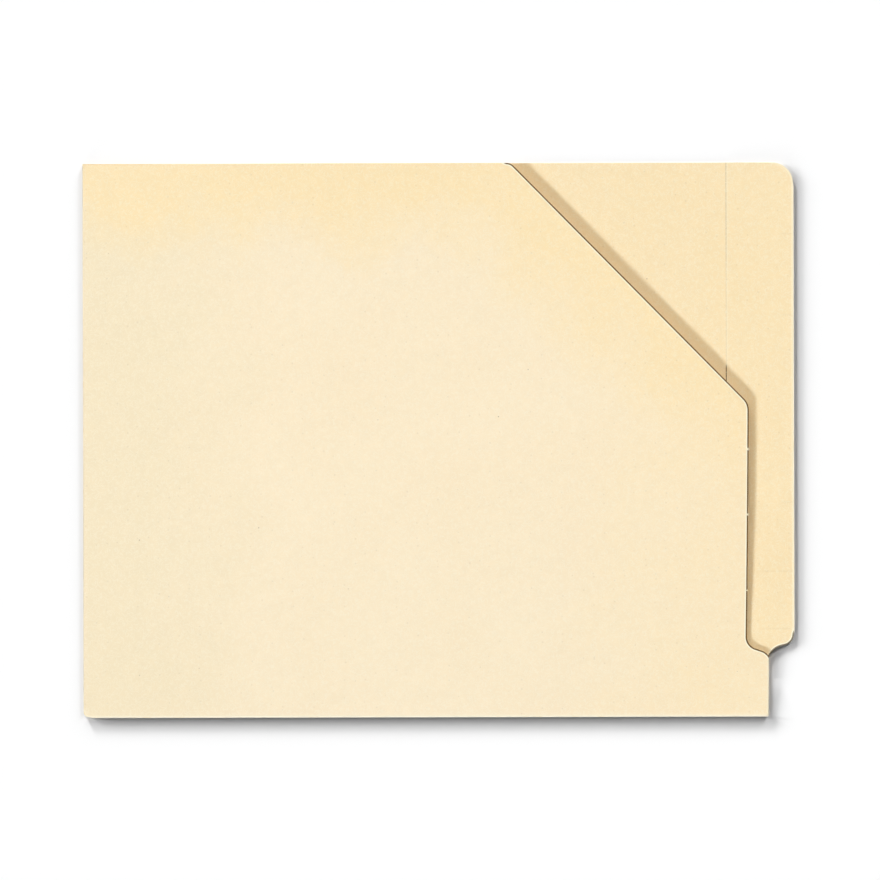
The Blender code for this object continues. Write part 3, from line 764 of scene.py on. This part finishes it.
tuft_tree, tuft_inputs, asked = grow_tree("nick_tuft", {
    "Nicks": "Geometry", "Fibres": "Int", "Height": "Float", "Length": "Float", "Radius": "Float",
    "Seed": "Int", "Finish": "Material",
})
roots = add(tuft_tree, "GeometryNodeMeshToPoints", {"Mesh": asked["Nicks"]})
bundle = add(tuft_tree, "GeometryNodeDuplicateElements", {"Geometry": roots.outputs[0],
                                                          "Amount": asked["Fibres"]}, domain="POINT")
spread = add(tuft_tree, "FunctionNodeRandomValue", {0: TUFT_SPREAD[0], 1: TUFT_SPREAD[1],
                                                    "Seed": asked["Seed"]}, data_type="FLOAT_VECTOR")
extent = add(tuft_tree, "GeometryNodeInputNamedAttribute", {"Name": "tuft_size"}, data_type="FLOAT")
reach = add(tuft_tree, "ShaderNodeMath", {0: extent.outputs[0], 1: asked["Height"]}, operation="MULTIPLY")
strewn = add(tuft_tree, "ShaderNodeVectorMath", {0: spread.outputs[0], "Scale": reach.outputs[0]},
             operation="SCALE")
strewn_roots = add(tuft_tree, "GeometryNodeSetPosition", {"Geometry": bundle.outputs[0],
                                                          "Offset": strewn.outputs[0]})
strand = add(tuft_tree, "GeometryNodeMeshCone", {"Vertices": TUFT_FIBRE_SIDES, "Depth": asked["Length"],
                                                 "Radius Top": TUFT_FIBRE_TIP * MM,
                                                 "Radius Bottom": asked["Radius"]})
lean = add(tuft_tree, "FunctionNodeRandomValue", {0: TUFT_LEAN[0], 1: TUFT_LEAN[1],
                                                  "Seed": asked["Seed"]}, data_type="FLOAT_VECTOR")
size = add(tuft_tree, "FunctionNodeRandomValue", {2: TUFT_SIZES[0], 3: TUFT_SIZES[1],
                                                  "Seed": asked["Seed"]}, data_type="FLOAT")
grade = add(tuft_tree, "ShaderNodeMath", {0: size.outputs[1], 1: extent.outputs[0]}, operation="MULTIPLY")
set_out = add(tuft_tree, "GeometryNodeInstanceOnPoints", {"Points": strewn_roots.outputs[0],
                                                          "Instance": strand.outputs[0],
                                                          "Rotation": lean.outputs[0],
                                                          "Scale": grade.outputs[0]})
close_tree(tuft_tree, set_out.outputs[0], asked["Finish"])

# Torn fibre: undyed pulp from the middle of the card, so it is nearly white, fluffy and fully matt.
fluff, pulp = new_finish("torn_pulp_fibre")
pulp_place = add(pulp, "ShaderNodeTexCoord", {})
pulp_noise = add(pulp, "ShaderNodeTexNoise", {"Vector": pulp_place.outputs["Object"],
                                              "Scale": 1 / (PULP_SIZE * MM), "Detail": 2.0})
pulp_colour = add(pulp, "ShaderNodeMix", {0: pulp_noise.outputs[0], 6: linear(PULP_WHITE),
                                          7: linear(PULP_CREAM)}, data_type="RGBA")
pulp_rough = add(pulp, "ShaderNodeMapRange", {0: pulp_noise.outputs[0], 3: PULP_ROUGHNESS[0],
                                              4: PULP_ROUGHNESS[1]})
pulp_bump = add(pulp, "ShaderNodeBump", {"Strength": PULP_RELIEF, "Distance": PULP_DEPTH * MM,
                                         "Height": pulp_noise.outputs[0]})
surface(pulp, pulp_colour.outputs[2], pulp_rough.outputs[0], pulp_bump.outputs[0], PULP_GLOSS)

nick_places = []
for height, _ in NICKS:
    along = (height - diagonal_low) / (folder_bottom + CUT_FOOT - diagonal_low)
    swell = math.sin(min((height - front_bottom) / BULGE_RISE, 1) * math.pi / 2)
    upper = front_base + FRONT_BULGE * swell + card_thickness
    nick_places.append(Vector((cut_right - CUT_LEAN * along, height, upper)) * MM)
nick_mesh = bpy.data.meshes.new("nick_seed")
nick_mesh.from_pydata(nick_places, [], [])
tuft_sizes = nick_mesh.attributes.new("tuft_size", "FLOAT", "POINT")
tuft_sizes.data.foreach_set("value", [tuft for _, tuft in NICKS])
tufts = grown("nick_tufts", nick_mesh, tuft_tree, tuft_inputs, {
    "Fibres": TUFT_FIBRES,
    "Height": TUFT_HEIGHT * MM,
    "Length": TUFT_FIBRE_LENGTH * MM,
    "Radius": TUFT_FIBRE_RADIUS * MM,
    "Seed": TUFT_SEED,
    "Finish": fluff,
})
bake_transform(tufts)

# Table, light and camera
# A white table under the folder, and a camera straight above. A key lamp at the lower left, two soft lamps
# at the top and a lamp for each crease light the folder. Low lamps light the table alone, most of them
# from the left and upper left, so the shadow falls to the right and below.
TABLE_SIZE = 6.0  # metres
TABLE_DROP = 0.05
LAMINATE_WHITE = "#FAFAFA"
LAMINATE_ROUGHNESS = 0.9
LAMINATE_GLOSS = 0.0
COOL_WHITE = "#E3F0FF"
WARM_WHITE = "#FFF6EA"
PURE_WHITE = "#FFFFFF"
# Lamps: bearing, elevation and spread in degrees, share of a plain light level
KEY_LAMP = (224, 41.5, 12, 0.40)
FILL_LAMP = (58, 50, 45, 0.36)
SIDE_LAMP = (122, 45, 40, 0.19)
CREASE_LAMP = (-40, 65, 12)
CREASE_SHARES = {"bottom_fold_crease": 0.57, "tab_fold_crease": 0.48, "side_fold_crease": 0.28}
LOW_TABLE_LAMPS = ((170, 5.8, 7, 0.175), (150, 6.8, 7, 0.16), (60, 12.5, 22, 0.25), (240, 5, 8, 0.06))
OPEN_TABLE_LAMPS = ((115, 8.2, 6, 0.26), (172, 17, 10, 0.10))
SKY_LEVEL = 0.05
CAMERA_HEIGHT = 1070.0
CAMERA_LENS = 100.49
CAMERA_SENSOR = 36.0
CAMERA_AIM = (0.64, 0.13)
CAMERA_ROLL = -0.13
CAMERA_CLIP = 20.0  # metres

table_mesh = bpy.data.meshes.new("table")
half = TABLE_SIZE / 2
table_corners = ((-half, -half), (half, -half), (half, half), (-half, half))
table_mesh.from_pydata([(x, y, -TABLE_DROP * MM) for x, y in table_corners], [], [(0, 1, 2, 3)])
table = bpy.data.objects.new("table", table_mesh)
bpy.context.scene.collection.objects.link(table)
table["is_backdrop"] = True
# White laminate: plain, matt and even.
laminate, board = new_finish("white_laminate")
board_shader = board.nodes["Principled BSDF"]
board_shader.inputs["Base Color"].default_value = linear(LAMINATE_WHITE)
board_shader.inputs["Roughness"].default_value = LAMINATE_ROUGHNESS
board_shader.inputs["Specular IOR Level"].default_value = LAMINATE_GLOSS
table_mesh.materials.append(laminate)

folder_pieces = bpy.data.collections.new("folder_pieces")
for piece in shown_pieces():
    folder_pieces.objects.link(piece)
table_pieces = bpy.data.collections.new("table_pieces")
table_pieces.objects.link(table)
flat_pieces = bpy.data.collections.new("flat_pieces")
leaf_pieces = bpy.data.collections.new("leaf_pieces")
crease_pieces = {}
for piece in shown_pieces():
    if piece not in (front_leaf, tufts):
        flat_pieces.objects.link(piece)
    if piece.name in CREASE_SHARES:
        crease_pieces[piece.name] = bpy.data.collections.new(piece.name)
        crease_pieces[piece.name].objects.link(piece)
    else:
        leaf_pieces.objects.link(piece)


def lamp(name, bearing, elevation, spread, share, tint, lit):
    """A distant soft lamp that gives the lit pieces that share of a plain light level on a level surface."""
    light = bpy.data.lights.new(name, "SUN")
    light.color = linear(tint)[:3]
    light.angle = math.radians(spread)
    turn, tilt = math.radians(bearing), math.radians(elevation)
    light.energy = share * math.pi / math.sin(tilt) * len(light.color) / sum(light.color)
    stand = bpy.data.objects.new(name, light)
    source = Vector((math.cos(turn) * math.cos(tilt), math.sin(turn) * math.cos(tilt), math.sin(tilt)))
    stand.rotation_euler = source.to_track_quat("Z", "Y").to_euler()
    bpy.context.scene.collection.objects.link(stand)
    stand.light_linking.receiver_collection = lit
    return stand


lamp("key_lamp", *KEY_LAMP, COOL_WHITE, leaf_pieces)
for crease_name, share in CREASE_SHARES.items():
    lamp(crease_name + "_lamp", *CREASE_LAMP, share, COOL_WHITE, crease_pieces[crease_name])
lamp("fill_lamp", *FILL_LAMP, WARM_WHITE, folder_pieces)
lamp("side_lamp", *SIDE_LAMP, WARM_WHITE, folder_pieces)
# The raised front leaf would throw too long a shadow from these, so the flat pieces alone block them.
for setting in LOW_TABLE_LAMPS:
    low_lamp = lamp("table_lamp", *setting, PURE_WHITE, table_pieces)
    low_lamp.light_linking.blocker_collection = flat_pieces
for setting in OPEN_TABLE_LAMPS:
    lamp("table_lamp", *setting, PURE_WHITE, table_pieces)

world = bpy.data.worlds.new("studio")
world.use_nodes = True
bpy.context.scene.world = world
sky = world.node_tree
rays = add(sky, "ShaderNodeLightPath", {})
seen = add(sky, "ShaderNodeMath", {0: rays.outputs["Is Camera Ray"], 1: rays.outputs["Is Glossy Ray"]},
           operation="MAXIMUM")
clear = add(sky, "ShaderNodeMath", {0: seen.outputs[0], 1: rays.outputs["Is Transmission Ray"]},
            operation="MAXIMUM")
level = add(sky, "ShaderNodeMapRange", {0: clear.outputs[0], 3: SKY_LEVEL, 4: 1.0})
backdrop = sky.nodes["Background"]
backdrop.inputs["Color"].default_value = linear(PURE_WHITE)
sky.links.new(level.outputs[0], backdrop.inputs["Strength"])

eye = bpy.data.cameras.new("camera")
eye.sensor_width = CAMERA_SENSOR
eye.lens = CAMERA_LENS
eye.clip_end = CAMERA_CLIP
camera = bpy.data.objects.new("camera", eye)
camera.location = Vector((*CAMERA_AIM, CAMERA_HEIGHT)) * MM
camera.rotation_euler = (0.0, 0.0, math.radians(CAMERA_ROLL))
bpy.context.scene.collection.objects.link(camera)
bpy.context.scene.camera = camera
bpy.context.scene.view_settings.view_transform = "Standard"
